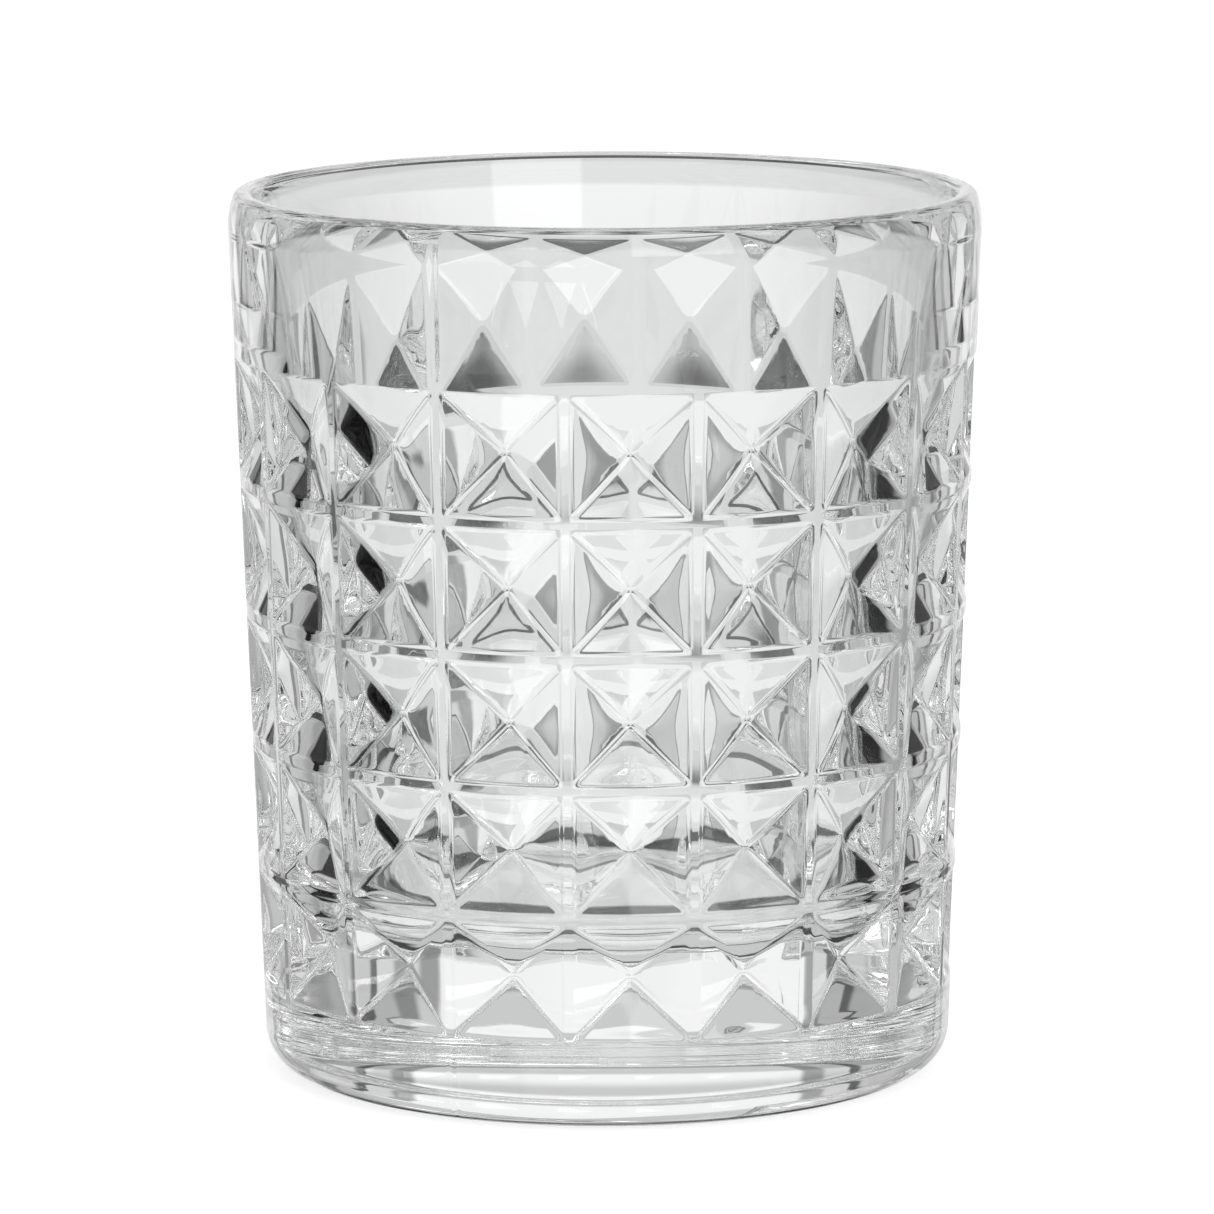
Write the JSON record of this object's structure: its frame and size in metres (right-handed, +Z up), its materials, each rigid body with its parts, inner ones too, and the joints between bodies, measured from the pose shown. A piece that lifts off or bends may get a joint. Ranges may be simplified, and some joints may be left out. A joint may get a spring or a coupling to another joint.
{
  "type": "whiskey tumbler",
  "caption": "Straight-sided, slightly tapered whiskey tumbler of clear pressed glass with a grid of sunken pyramids around the wall and a thick base.",
  "frame": {"origin": "centre of the resting plane under the foot", "axes": "+Z up along the glass's axis; -Y towards the front, where one upright bar of the pattern stands"},
  "size_m": [0.0816, 0.0816, 0.0964],
  "materials": {
    "clear_glass": "clear, fire-polished pressed glass"
  },
  "bodies": {
    "root": {"tumbler": "clear_glass"}
  },
  "joints": []
}
